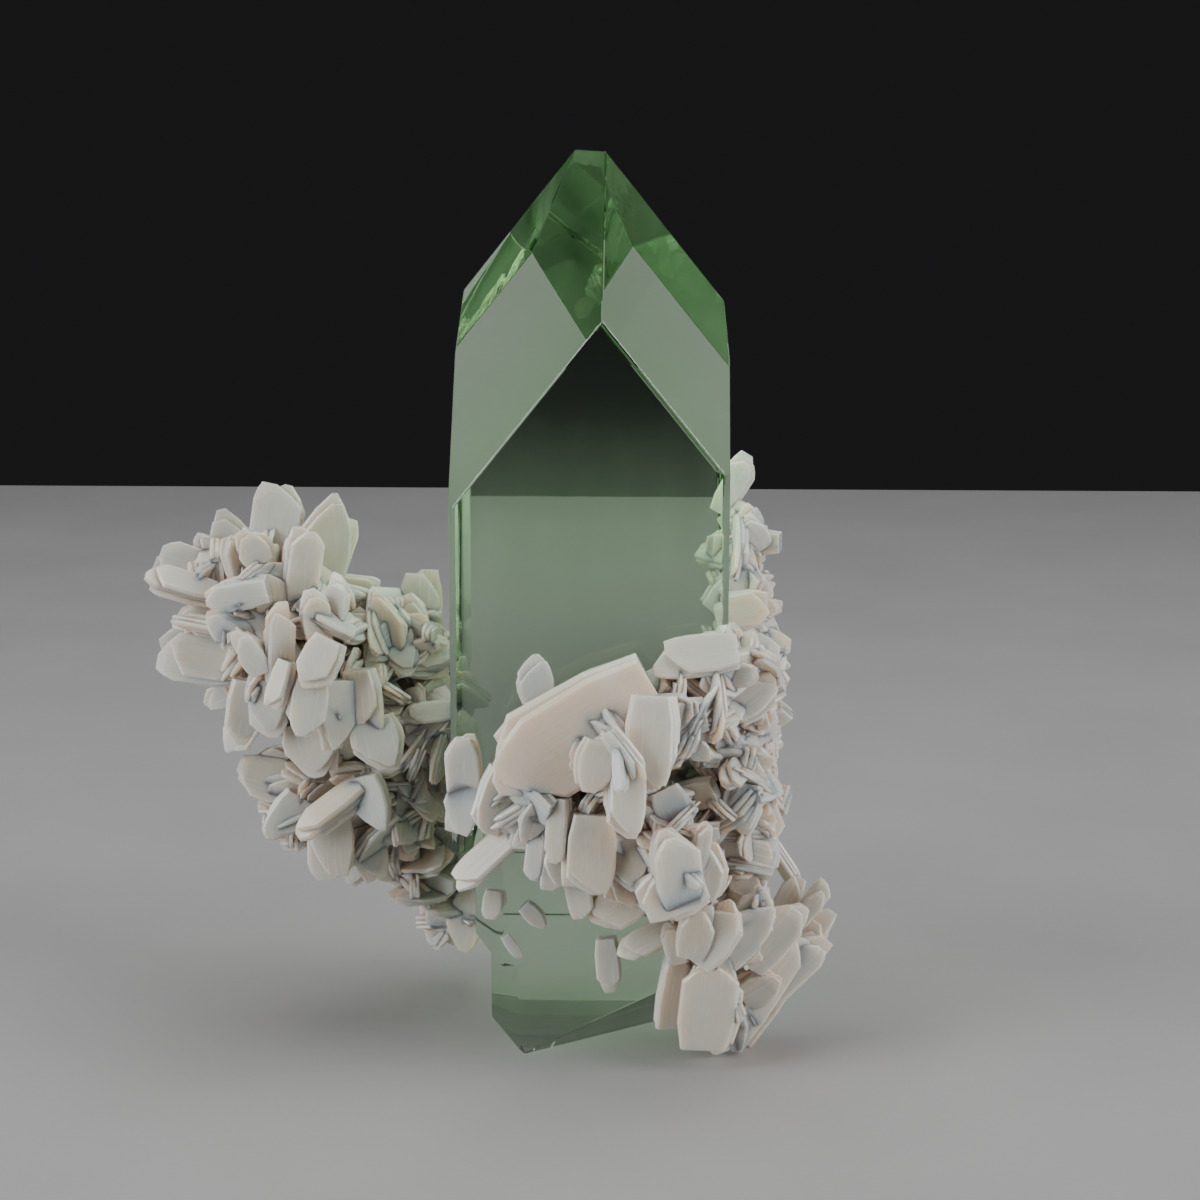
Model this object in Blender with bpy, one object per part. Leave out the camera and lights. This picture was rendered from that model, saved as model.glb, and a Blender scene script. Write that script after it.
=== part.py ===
"""Apophyllite with stilbite: a green apophyllite tower between two clusters of stilbite blades.

Metres, +Z up. The tower's side faces run along X and Y, the viewer stands on the -Y side, and the
origin is on the flat underside that the tower was broken off at, on the tower's own axis.

The stilbite crystals are placed as they are read from the front: how far right of the middle of
the view a point shows, how far up from the foot of the tower, and how deep it lies. seen_at turns
such a reading into a place.
"""

import math
import random
from typing import NamedTuple

import bmesh
import bpy
from mathutils import Matrix, Vector

MM = 0.001

# Apophyllite tower
TOWER_HEIGHT = 77.5 * MM
TOWER_WIDTH = 23.4 * MM
PYRAMID_ANGLE = math.radians(60.4)
RIDGE_OFFSET = Vector((-0.2, 0.2)) * MM
RIDGE_HALF = 1.34 * MM
SHOULDER_HEIGHT = 60.4 * MM
SHOULDER_TILT = math.radians(6)
FRONT_EDGE_BEVEL = 0.5 * MM
BACK_EDGE_BEVEL = 0.8 * MM

# Narrower lower end of the tower, in two broken steps
TOWER_FOOT = 18.9 * MM
STEP_HEIGHT = 8.3 * MM
STEP_SIDES = {"left": 10.0 * MM, "right": 9.6 * MM, "front": 10.8 * MM, "back": 10.7 * MM}
FOOT_SIDES = {"left": 8.7 * MM, "right": 9.2 * MM, "front": 10.5 * MM, "back": 10.2 * MM}
FOOT_CORNER_BEVEL = 2.6 * MM
OVERLAP = 2.0 * MM

# Gaps and trims
GAP = 0.3 * MM
CLUSTER_GAP = 0.35 * MM
BIG = 200 * MM

# The front view that the readings are taken in
VIEW_DISTANCE = 228.8 * MM
VIEW_PITCH = math.radians(13)
VIEW_TURN = math.radians(1.6)
VIEW_AIM = Vector((0.63, 0.2, 38.4)) * MM
VIEW_MIDDLE_UP = 40.2 * MM

# Stilbite blades: the point at the tip and the narrower root
TIP_LENGTH = 0.42
TIP_BLUNT = 0.28
TIP_SKEW = 0.12
ROOT_LENGTH = 0.35
ROOT_NARROW = 0.8
CORE_SHARE = 0.78
RANDOM_SEED = 11


class Blade(NamedTuple):
    """A stilbite crystal: root and tip as read from the front (right, up, depth), in millimetres.

    turn is how many degrees its broad face is turned about its length, away from the viewer.
    """

    root: tuple
    tip: tuple
    width: float
    thick: float
    turn: float


class Lobe(NamedTuple):
    """A rounded lump of a cluster: its middle as read from the front, its half sizes and blades."""

    middle: tuple
    radii: tuple
    blades: int


LEFT_BLADES = (
    # The long blade that reaches furthest left
    Blade((-34.0, 40.7, -3.0), (-40.0, 42.5, -4.5), 2.6, 1.3, 35),
    # Glassy plates along the upper left edge
    Blade((-33.4, 42.0, 1.0), (-39.0, 44.1, 0.5), 3.7, 0.9, 8),
    Blade((-31.7, 43.0, 3.0), (-33.3, 48.2, 3.0), 3.9, 0.9, 5),
    Blade((-31.5, 42.7, 2.5), (-35.8, 45.5, 1.5), 2.5, 0.9, 15),
    # The tall pointed plates at the top
    Blade((-28.9, 44.1, 1.0), (-27.8, 50.4, 0.5), 4.8, 1.0, -8),
    Blade((-24.2, 42.4, 0.5), (-23.9, 49.6, -0.5), 4.4, 1.1, 12),
    Blade((-24.8, 40.0, 1.6), (-22.1, 47.6, 2.0), 2.8, 1.2, 20),
    # Small plates on the right of the upper lobe
    Blade((-25.2, 42.0, 2.2), (-19.4, 41.3, 3.5), 1.9, 1.1, 10),
    Blade((-24.8, 41.4, -0.6), (-20.1, 40.4, 0.5), 1.8, 1.1, 40),
    # The broad rounded blade beside the tower
    Blade((-16.2, 35.4, 3.5), (-15.8, 42.9, 3.0), 4.0, 1.2, 6),
    Blade((-18.8, 35.4, -1.0), (-18.9, 40.6, -1.5), 3.9, 1.5, -12),
    # Blocky blades on the face of the upper lobe
    Blade((-26.6, 40.3, -3.2), (-25.8, 46.6, -4.8), 3.3, 1.4, 15),
    Blade((-23.6, 37.9, -5.0), (-22.7, 42.3, -6.0), 2.5, 1.2, -25),
    Blade((-24.6, 36.3, -6.0), (-25.3, 41.2, -7.0), 2.8, 1.5, 25),
    Blade((-21.8, 37.2, -6.0), (-26.3, 39.6, -7.0), 1.9, 1.1, 55),
    Blade((-31.4, 41.5, -3.0), (-32.8, 45.7, -4.0), 2.1, 1.1, 30),
    Blade((-29.2, 41.1, -5.5), (-34.6, 40.1, -5.0), 3.0, 1.4, -20),
    Blade((-29.7, 43.6, -4.0), (-31.3, 46.2, -4.5), 3.0, 1.2, 0),
    # The silvery plate at far left and what stands behind it
    Blade((-31.2, 34.6, -3.0), (-38.8, 35.7, -2.0), 4.8, 1.1, 14),
    Blade((-34.8, 36.7, 2.0), (-38.7, 36.0, 2.0), 3.5, 0.9, -10),
    Blade((-32.4, 37.9, -1.5), (-36.9, 38.8, -1.5), 2.8, 1.0, 10),
    Blade((-30.6, 36.7, -5.0), (-34.8, 38.6, -5.0), 3.0, 1.3, -15),
    # Upright and leaning blades in the middle
    Blade((-28.5, 33.0, -7.0), (-28.3, 40.0, -7.5), 2.5, 1.4, 30),
    Blade((-29.7, 33.9, -7.0), (-31.8, 37.6, -7.5), 2.6, 1.3, -25),
    Blade((-27.6, 34.9, -8.0), (-28.9, 30.7, -8.5), 1.9, 1.2, 25),
    Blade((-23.6, 36.7, -8.5), (-25.7, 32.3, -9.5), 3.2, 1.5, 10),
    Blade((-31.2, 33.2, -5.0), (-31.8, 27.5, -5.0), 3.2, 1.1, -8),
    Blade((-29.4, 33.2, -6.0), (-29.0, 28.1, -6.5), 3.5, 1.2, 10),
    Blade((-29.2, 32.6, -1.9), (-32.8, 26.8, -1.5), 3.0, 1.1, 12),
    Blade((-29.0, 33.8, -0.4), (-34.8, 31.1, 1.0), 2.6, 1.1, -10),
    # The bright plate under the middle
    Blade((-25.3, 33.4, -8.0), (-26.2, 28.2, -9.0), 3.3, 1.2, 0),
    Blade((-23.2, 33.2, -7.0), (-23.3, 27.0, -7.5), 3.2, 1.5, -20),
    Blade((-21.1, 34.1, -6.5), (-20.4, 28.8, -7.0), 3.5, 1.4, 15),
    # The three-cornered silvery plate
    Blade((-19.9, 29.8, -6.5), (-18.8, 25.3, -8.0), 4.4, 1.1, -5),
    Blade((-25.9, 29.5, -5.0), (-24.8, 24.6, -6.0), 5.1, 1.2, 8),
    # Plates of the lower lobe
    Blade((-27.1, 23.7, -2.0), (-31.9, 25.4, -1.5), 4.2, 1.1, 10),
    Blade((-26.4, 23.0, -3.5), (-29.0, 19.3, -4.0), 3.5, 1.2, -10),
    Blade((-20.9, 23.8, -5.0), (-26.6, 19.4, -6.0), 2.6, 1.8, 35),
    Blade((-23.7, 21.3, -4.0), (-23.8, 15.5, -4.0), 4.2, 1.3, 5),
    Blade((-20.8, 24.8, -5.0), (-19.4, 19.8, -5.5), 3.5, 1.4, 20),
    Blade((-21.1, 20.4, -2.0), (-19.7, 15.6, -2.0), 3.3, 1.3, -15),
    Blade((-25.3, 20.2, 1.0), (-27.8, 18.3, 1.0), 2.1, 0.8, 0),
    Blade((-21.0, 20.8, 1.6), (-21.5, 15.0, 1.0), 1.9, 1.1, 10),
    # Darker blades between the lower lobe and the tower
    Blade((-18.8, 25.7, -1.0), (-16.2, 19.4, -1.0), 3.2, 1.5, 10),
    Blade((-15.8, 26.8, 1.0), (-13.3, 20.5, 1.0), 3.0, 1.3, -10),
    Blade((-13.0, 19.3, 4.0), (-16.1, 16.2, 4.0), 3.5, 1.4, 8),
    Blade((-11.4, 16.6, 4.5), (-14.8, 10.6, 4.0), 4.0, 1.5, -5),
    Blade((-10.9, 14.9, 3.0), (-12.6, 9.7, 3.0), 3.5, 1.4, 10),
    # Blades that reach the tower's left face
    Blade((-12.8, 30.5, -2.2), (-17.5, 30.0, -3.4), 2.1, 1.6, 12),
    Blade((-13.0, 27.4, -1.5), (-17.9, 29.1, -2.0), 2.8, 1.2, -15),
    Blade((-13.2, 35.8, 0.0), (-17.2, 34.8, -1.0), 3.0, 1.2, 20),
)

RIGHT_BLADES = (
    # Blades that stand up behind the right edge
    Blade((10.6, 48.8, 3.0), (13.1, 53.0, 3.0), 3.0, 1.0, 5),
    Blade((10.6, 47.6, 3.0), (12.9, 48.8, 3.0), 1.9, 0.9, -10),
    Blade((10.2, 44.8, 2.0), (15.0, 45.2, 2.0), 5.1, 0.9, 8),
    Blade((11.1, 46.2, -0.5), (12.8, 43.6, -0.5), 1.8, 0.9, -10),
    Blade((9.9, 39.9, -3.0), (13.6, 43.7, -3.0), 3.5, 1.3, 10),
    Blade((11.4, 40.5, 0.0), (15.5, 41.1, 0.0), 2.3, 1.2, -12),
    # The striated white blade
    Blade((10.2, 39.2, -5.0), (14.9, 40.0, -5.5), 3.2, 1.3, 12),
    Blade((12.5, 39.2, -1.0), (16.1, 39.6, -1.0), 1.9, 1.2, 0),
    # Pointed blades along the right edge
    Blade((10.2, 36.5, -5.0), (16.7, 35.6, -5.0), 3.9, 1.5, -12),
    Blade((9.5, 32.1, -6.0), (15.9, 32.8, -6.0), 3.3, 1.5, 14),
    Blade((10.2, 29.3, -7.0), (15.0, 30.2, -7.0), 3.9, 1.4, -10),
    Blade((12.7, 27.5, -2.0), (16.1, 27.4, -2.0), 2.1, 1.2, 8),
    Blade((12.5, 22.6, -4.0), (15.6, 22.6, -4.0), 3.5, 1.1, 10),
    Blade((9.3, 18.9, -9.0), (15.9, 21.3, -9.0), 4.6, 1.6, -8),
    Blade((14.4, 19.7, -6.0), (17.3, 15.3, -6.0), 1.6, 1.0, 60),
    # The blade that points left above the large one
    Blade((12.1, 35.6, -14.0), (4.6, 34.8, -14.5), 3.7, 1.6, 12),
    # The large front crystal
    Blade((4.6, 32.8, -14.5), (-9.7, 24.6, -16.0), 7.7, 2.8, -6),
    # The silvery blade at the tower's left edge
    Blade((-11.6, 21.6, -12.9), (-12.1, 28.4, -13.0), 3.0, 1.2, -5),
    Blade((-11.3, 23.8, -13.0), (-12.7, 19.7, -13.5), 3.3, 1.3, 10),
    Blade((-8.5, 25.4, -14.0), (-10.2, 19.7, -14.5), 3.0, 1.4, -15),
    Blade((-5.8, 23.0, -14.0), (-8.3, 19.6, -14.5), 4.2, 1.4, 8),
    Blade((-6.6, 20.6, -13.6), (-12.7, 15.0, -13.5), 2.8, 1.6, 25),
    Blade((-4.9, 20.7, -14.5), (-7.8, 18.4, -15.0), 3.3, 1.3, -10),
    Blade((-5.2, 20.3, -15.5), (-5.7, 15.5, -16.0), 1.9, 1.2, 15),
    # Stacked plates below the large crystal
    Blade((-3.5, 22.8, -17.0), (-3.8, 17.0, -17.5), 2.1, 1.3, 20),
    Blade((-3.5, 18.6, -16.0), (-4.0, 14.6, -16.5), 2.8, 1.2, -10),
    Blade((-0.7, 21.3, -17.5), (-1.1, 14.3, -18.5), 4.2, 1.4, 0),
    Blade((-2.3, 16.6, -15.0), (-1.5, 12.3, -15.0), 2.3, 1.3, 15),
    Blade((0.2, 27.7, -19.0), (-0.9, 23.2, -20.0), 3.5, 1.5, 8),
    Blade((2.3, 26.5, -19.5), (1.9, 19.2, -20.5), 3.3, 1.6, -12),
    Blade((0.7, 28.6, -20.0), (4.0, 24.3, -21.0), 1.8, 1.2, 50),
    Blade((1.6, 27.2, -20.5), (1.8, 23.2, -21.5), 1.2, 1.1, 30),
    Blade((4.6, 31.8, -18.0), (4.2, 23.6, -19.5), 4.4, 1.7, 10),
    Blade((9.2, 30.4, -16.5), (2.7, 29.1, -17.5), 3.3, 1.5, -15),
    Blade((7.9, 22.6, -16.5), (5.1, 20.1, -17.5), 3.0, 1.3, 10),
    Blade((5.6, 23.5, -16.5), (7.4, 19.8, -17.5), 3.3, 1.3, -5),
    Blade((7.0, 13.6, -19.0), (6.2, 20.1, -20.5), 4.0, 1.8, 12),
    Blade((9.0, 15.6, -18.5), (3.5, 13.3, -19.5), 4.9, 1.8, -10),
    Blade((3.7, 14.2, -15.0), (-0.7, 11.7, -15.5), 3.9, 1.5, 8),
    Blade((8.6, 16.8, -18.0), (9.2, 20.7, -19.0), 1.4, 1.2, 10),
    Blade((6.7, 16.9, -19.5), (9.0, 15.1, -20.5), 1.2, 1.1, 45),
    Blade((9.0, 14.2, -17.0), (9.9, 18.9, -18.0), 3.5, 1.5, -10),
    Blade((7.0, 12.2, -12.9), (1.6, 8.9, -13.0), 2.5, 1.4, 15),
    Blade((8.8, 26.1, -11.0), (12.1, 29.0, -12.0), 3.2, 1.5, 15),
    Blade((9.9, 23.0, -11.0), (12.5, 25.3, -12.0), 3.5, 1.5, -10),
)

SHEAF_BLADES = (
    # The striated left edge of the sheaf
    Blade((5.9, 2.9, -12.3), (7.3, 9.8, -13.2), 2.9, 1.6, 25),
    # The clear plate and the silvery tips at its foot
    Blade((9.3, 1.0, -13.5), (10.0, 8.7, -15.0), 5.5, 1.6, 5),
    Blade((8.8, 6.3, -11.5), (10.7, 0.4, -10.9), 4.0, 1.5, -8),
    Blade((10.2, 6.8, -10.5), (12.1, 0.8, -10.0), 3.0, 1.4, 15),
    # Long blades that fan out to the upper right
    Blade((11.6, 1.1, -10.0), (17.8, 10.5, -10.0), 3.0, 1.6, 20),
    Blade((12.5, 1.3, -8.0), (20.2, 12.8, -8.0), 2.6, 1.4, -10),
    Blade((13.7, 5.0, -9.0), (19.5, 10.7, -9.5), 3.2, 1.5, 12),
    Blade((16.7, 11.2, -8.5), (20.1, 15.2, -9.0), 1.8, 1.2, 10),
    Blade((15.5, 12.2, -7.0), (17.6, 15.8, -7.0), 2.1, 1.2, -10),
    Blade((10.7, 8.7, -14.0), (15.0, 14.4, -15.0), 3.7, 1.7, 10),
    Blade((8.8, 8.4, -15.5), (12.0, 13.4, -16.5), 3.5, 1.7, -15),
    Blade((13.2, 8.1, -11.5), (17.6, 13.4, -12.5), 3.3, 1.6, 10),
    Blade((7.9, 9.0, -16.0), (9.0, 13.4, -17.0), 3.0, 1.5, 5),
    Blade((7.0, 8.5, -14.0), (6.0, 11.9, -14.5), 2.3, 1.3, -10),
)

LEFT_LOBES = (
    Lobe((-29.8, 39.0, 0.5), (7.8, 7.4, 8.2), 7),
    Lobe((-28.4, 34.2, -2.6), (4.6, 5.0, 4.8), 2),
    Lobe((-24.4, 37.6, -2.4), (4.2, 3.8, 4.4), 1),
    Lobe((-23.3, 32.3, -0.5), (7.4, 7.5, 6.4), 4),
    Lobe((-20.4, 27.4, 0.4), (5.6, 6.0, 5.6), 2),
    Lobe((-26.0, 23.3, 0.5), (4.6, 5.2, 5.4), 4),
    Lobe((-18.0, 36.7, 1.0), (5.2, 5.0, 4.6), 3),
    Lobe((-18.9, 21.7, 1.5), (5.4, 6.0, 5.6), 4),
    Lobe((-15.6, 17.6, 4.0), (4.6, 5.4, 5.0), 2),
    Lobe((-12.8, 13.6, 5.5), (3.8, 4.8, 4.2), 2),
    Lobe((-15.4, 27.9, 1.0), (5.0, 6.0, 7.5), 3),
    Lobe((-15.0, 33.0, 8.5), (5.6, 5.6, 5.6), 4),
    Lobe((-14.6, 23.0, 9.0), (5.0, 5.6, 5.0), 4),
)

RIGHT_LOBES = (
    Lobe((12.2, 43.4, 0.5), (2.4, 4.6, 5.6), 3),
    Lobe((12.0, 35.2, -3.0), (4.6, 5.6, 5.0), 3),
    Lobe((11.2, 28.8, -6.5), (5.2, 6.2, 5.6), 2),
    Lobe((11.0, 32.6, -10.6), (5.0, 5.2, 5.4), 3),
    Lobe((7.0, 30.0, -13.6), (5.6, 4.4, 5.0), 2),
    Lobe((2.0, 27.0, -14.6), (6.0, 4.2, 4.8), 2),
    Lobe((5.0, 18.4, -14.8), (5.8, 4.8, 6.2), 2),
    Lobe((10.4, 24.4, -11.6), (5.4, 5.2, 5.8), 2),
    Lobe((12.0, 19.6, -8.0), (4.0, 6.4, 6.0), 3),
    Lobe((-4.4, 22.6, -14.0), (5.8, 3.2, 4.4), 2),
    Lobe((10.6, 12.8, -12.0), (5.0, 4.8, 5.4), 2),
    Lobe((11.6, 6.8, -10.6), (4.2, 4.4, 5.0), 2),
    Lobe((12.6, 33.4, 4.5), (3.6, 6.4, 6.6), 4),
    Lobe((12.4, 24.0, 0.5), (3.4, 6.4, 7.0), 4),
)

# Crystals that stand alone on the tower's faces
LOOSE_BLADES = {
    "stilbite_face_plate": Blade((-5.5, 31.1, -12.5), (-5.9, 35.4, -12.5), 3.0, 0.9, 0),
    "stilbite_left_foot_blade": Blade((-9.3, 14.7, -11.6), (-9.5, 12.1, -11.8), 1.9, 1.0, 10),
    "stilbite_foot_blade": Blade((-6.7, 13.4, -11.7), (-4.8, 11.5, -11.8), 1.6, 0.9, 0),
    "stilbite_low_blade": Blade((0.6, 10.5, -11.7), (1.1, 5.7, -11.7), 2.1, 1.0, 0),
    "stilbite_yellow_blade": Blade((-8.4, 10.7, -11.4), (-7.0, 8.7, -11.5), 1.0, 0.8, 0),
}

PART_COLLECTION = "apophyllite_with_stilbite"
CUTTER_COLLECTION = "cutters"


def clear_scene():
    """Remove every object that the file opens with."""
    for obj in list(bpy.data.objects):
        bpy.data.objects.remove(obj, do_unlink=True)


def collection(name, hidden=False):
    """The collection of that name, made when it is first asked for."""
    found = bpy.data.collections.get(name)
    if found is None:
        found = bpy.data.collections.new(name)
        found.hide_render = hidden
        bpy.context.scene.collection.children.link(found)
    return found


def material(name, colour, roughness, transmission=0.0, ior=1.5):
    """A Principled material in the crystal's own colour."""
    made = bpy.data.materials.new(name)
    made.use_nodes = True
    shader = made.node_tree.nodes["Principled BSDF"]
    shader.inputs["Base Color"].default_value = (*colour, 1.0)
    shader.inputs["Roughness"].default_value = roughness
    shader.inputs["Metallic"].default_value = 0.0
    shader.inputs["Transmission Weight"].default_value = transmission
    shader.inputs["IOR"].default_value = ior
    return made


def object_from(bm, name, in_collection):
    """A mesh object that holds what the bmesh holds."""
    mesh = bpy.data.meshes.new(name)
    bm.to_mesh(mesh)
    bm.free()
    obj = bpy.data.objects.new(name, mesh)
    in_collection.objects.link(obj)
    return obj


def cutter(bm, name):
    """A helper object, which is drawn as wire and left out of the finished part."""
    obj = object_from(bm, name, collection(CUTTER_COLLECTION, hidden=True))
    obj.hide_render = True
    obj.display_type = "WIRE"
    return obj


def seen_at(right, up, depth):
    """The place that shows right and up by that much from the front, at that depth."""
    across = Vector((math.cos(VIEW_TURN), math.sin(VIEW_TURN), 0.0))
    ahead = Vector((-math.sin(VIEW_TURN), math.cos(VIEW_TURN), 0.0))
    cos_pitch = math.cos(VIEW_PITCH)
    sin_pitch = math.sin(VIEW_PITCH)
    up_view = up - VIEW_MIDDLE_UP
    height = up_view * (VIEW_DISTANCE + depth * cos_pitch) - VIEW_DISTANCE * depth * sin_pitch
    height /= VIEW_DISTANCE * cos_pitch + up_view * sin_pitch
    distance = VIEW_DISTANCE + depth * cos_pitch - height * sin_pitch
    side = right * distance / VIEW_DISTANCE
    return VIEW_AIM + across * side + ahead * depth + Vector((0.0, 0.0, height))


def viewer_direction():
    """From the object towards the viewer, as a unit vector."""
    flat = math.cos(VIEW_PITCH)
    back = Vector((math.sin(VIEW_TURN), -math.cos(VIEW_TURN), 0.0))
    return back * flat + Vector((0.0, 0.0, math.sin(VIEW_PITCH)))


def block(low, high):
    """A box between two corners, as a bmesh to be cut by planes."""
    bm = bmesh.new()
    bmesh.ops.create_cube(bm, size=1.0)
    size = Vector(high) - Vector(low)
    middle = (Vector(high) + Vector(low)) / 2
    bmesh.ops.scale(bm, vec=size, verts=bm.verts)
    bmesh.ops.translate(bm, vec=middle, verts=bm.verts)
    return bm


def cut(bm, point, normal):
    """Cut a convex bmesh by a plane, keep the side behind it and close it with a flat face."""
    geometry = list(bm.verts) + list(bm.edges) + list(bm.faces)
    result = bmesh.ops.bisect_plane(
        bm,
        geom=geometry,
        dist=1e-8,
        plane_co=Vector(point),
        plane_no=Vector(normal),
        clear_outer=True,
    )
    edges = [item for item in result["geom_cut"] if isinstance(item, bmesh.types.BMEdge)]
    if len(edges) > 2:
        bmesh.ops.contextual_create(bm, geom=edges)


def cut_vertical_edge(bm, corner, leg, grow):
    """Bevel the upright edge at that corner of a block, by a plane the same leg along each face."""
    outward = Vector((math.copysign(1, corner[0]), math.copysign(1, corner[1]), 0.0)).normalized()
    point = Vector((corner[0], corner[1], 0.0)) - outward * leg / math.sqrt(2) + outward * grow
    cut(bm, point, outward)


def tower_top(grow=0.0):
    """The tower above its foot: square prism, four pyramid faces, and the steep shoulder facets."""
    half = TOWER_WIDTH / 2 + grow
    bm = block((-half, -half, TOWER_FOOT - grow), (half, half, TOWER_HEIGHT + OVERLAP))
    ridge = Vector((*RIDGE_OFFSET, TOWER_HEIGHT))
    rise = math.sqrt(2) / math.tan(PYRAMID_ANGLE)
    for side_x in (-1, 1):
        for side_y in (-1, 1):
            normal = Vector((side_x, side_y, rise)).normalized()
            on_ridge_end = side_x * side_y < 0
            along = Vector((side_x, side_y, 0.0)) * (RIDGE_HALF if on_ridge_end else 0.0)
            cut(bm, ridge + along + normal * grow, normal)
    for side_x in (-1, 1):
        normal = Vector((side_x * math.cos(SHOULDER_TILT), 0.0, math.sin(SHOULDER_TILT)))
        start = Vector((side_x * TOWER_WIDTH / 2, 0.0, SHOULDER_HEIGHT))
        cut(bm, start + normal * grow, normal)
    edge = TOWER_WIDTH / 2
    for side_x in (-1, 1):
        cut_vertical_edge(bm, (side_x * edge, -edge), FRONT_EDGE_BEVEL, grow)
        cut_vertical_edge(bm, (side_x * edge, edge), BACK_EDGE_BEVEL, grow)
    return bm


def lower_block(sides, bottom, top, grow):
    """One step of the tower's lower end, with the broad bevel along its front left corner."""
    low = (-sides["left"] - grow, -sides["front"] - grow, bottom - grow)
    high = (sides["right"] + grow, sides["back"] + grow, top)
    bm = block(low, high)
    cut_vertical_edge(bm, (-sides["left"], -sides["front"]), FOOT_CORNER_BEVEL, grow)
    cut_vertical_edge(bm, (sides["right"], sides["back"]), FOOT_CORNER_BEVEL, grow)
    return bm


def tower_step(grow=0.0):
    """The upper step of the lower end, broken off at a slant on its left underside."""
    bm = lower_block(STEP_SIDES, STEP_HEIGHT, TOWER_FOOT + OVERLAP, grow)
    normal = Vector((-0.72, -0.10, -0.68)).normalized()
    corner = Vector((-STEP_SIDES["left"], 0.0, STEP_HEIGHT + 0.9 * MM))
    cut(bm, corner + normal * grow, normal)
    return bm


def tower_base(grow=0.0):
    """The lowest step: flat underside, a broken chamfer at left and a chip along the front."""
    bm = lower_block(FOOT_SIDES, 0.0, STEP_HEIGHT + OVERLAP, grow)
    chamfer = Vector((-0.68, -0.12, -0.72)).normalized()
    cut(bm, Vector((-8.4, -9.0, 2.4)) * MM + chamfer * grow, chamfer)
    chip_left = Vector((-5.2, -10.5, 0.4)) * MM
    chip_right = Vector((2.6, -10.5, 4.3)) * MM
    chip_inner = Vector((2.6, -4.6, 0.0)) * MM
    chip = (chip_right - chip_left).cross(chip_inner - chip_left).normalized()
    if chip.z > 0:
        chip.negate()
    cut(bm, chip_left + chip * grow, chip)
    return bm


def add_boolean(obj, other, operation, use_self=False):
    """An exact Boolean modifier between two objects."""
    modifier = obj.modifiers.new(operation.lower(), "BOOLEAN")
    modifier.operation = operation
    modifier.solver = "EXACT"
    modifier.use_self = use_self
    modifier.object = other


def baked(obj):
    """Replace the object's mesh by its modifiers' result."""
    graph = bpy.context.evaluated_depsgraph_get()
    mesh = bpy.data.meshes.new_from_object(obj.evaluated_get(graph))
    obj.modifiers.clear()
    obj.data = mesh


def islands(bm):
    """The separate shells of a bmesh, each as a list of faces."""
    left = set(bm.faces)
    found = []
    while left:
        stack = [left.pop()]
        shell = []
        while stack:
            face = stack.pop()
            shell.append(face)
            for edge in face.edges:
                for other in edge.link_faces:
                    if other in left:
                        left.discard(other)
                        stack.append(other)
        found.append(shell)
    return found


def signed_volume(faces):
    """Six times the volume that a shell's faces enclose."""
    total = 0.0
    for face in faces:
        first = face.verts[0].co
        for before, after in zip(face.verts[1:-1], face.verts[2:]):
            total += first.dot(before.co.cross(after.co))
    return total


def keep_main_body(obj):
    """Keep the shell that encloses most, without the chips and inner hollows that a join leaves."""
    bm = bmesh.new()
    bm.from_mesh(obj.data)
    shells = sorted(islands(bm), key=signed_volume)
    for shell in shells[:-1]:
        bmesh.ops.delete(bm, geom=shell, context="FACES")
    bm.to_mesh(obj.data)
    bm.free()


def tower_object(name, in_collection, grow=0.0):
    """The whole tower as one solid. grow moves every face outwards, for a cutter that leaves a gap."""
    make = cutter if grow else object_from
    place = () if grow else (in_collection,)
    top = make(tower_top(grow), name, *place)
    step = cutter(tower_step(grow), name + "_step")
    base = cutter(tower_base(grow), name + "_base")
    add_boolean(top, step, "UNION")
    add_boolean(top, base, "UNION")
    baked(top)
    for helper in (step, base):
        bpy.data.objects.remove(helper, do_unlink=True)
    return top


def blade_solid(root, tip, facing, width, thick):
    """A six-sided plate from root to tip: a narrower root, full shoulders and a blunt, skewed point."""
    axis = tip - root
    length = axis.length
    axis.normalize()
    bm = block((-width / 2, -thick / 2, 0.0), (width / 2, thick / 2, length))
    tip_rise = min(TIP_LENGTH * width, 0.45 * length)
    root_rise = min(ROOT_LENGTH * length, 1.2 * width)
    for side in (-1, 1):
        top_half = width * (TIP_BLUNT / 2 + side * TIP_SKEW)
        slope = Vector((side * tip_rise, 0.0, width / 2 - top_half)).normalized()
        cut(bm, (side * top_half, 0.0, length), slope)
        root_half = width * ROOT_NARROW / 2
        slope = Vector((side * root_rise, 0.0, -(width / 2 - root_half))).normalized()
        cut(bm, (side * root_half, 0.0, 0.0), slope)
    flat = (facing - axis * facing.dot(axis)).normalized()
    broad = flat.cross(axis)
    turn = Matrix((broad, flat, axis)).transposed().to_4x4()
    bmesh.ops.transform(bm, matrix=Matrix.Translation(root) @ turn, verts=bm.verts)
    return bm


def shown_blade(blade):
    """The solid of a blade that is given by its reading from the front."""
    root = seen_at(*(value * MM for value in blade.root))
    tip = seen_at(*(value * MM for value in blade.tip))
    axis = (tip - root).normalized()
    facing = Matrix.Rotation(math.radians(blade.turn), 3, axis) @ viewer_direction()
    return blade_solid(root, tip, facing, blade.width * MM, blade.thick * MM)


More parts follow.
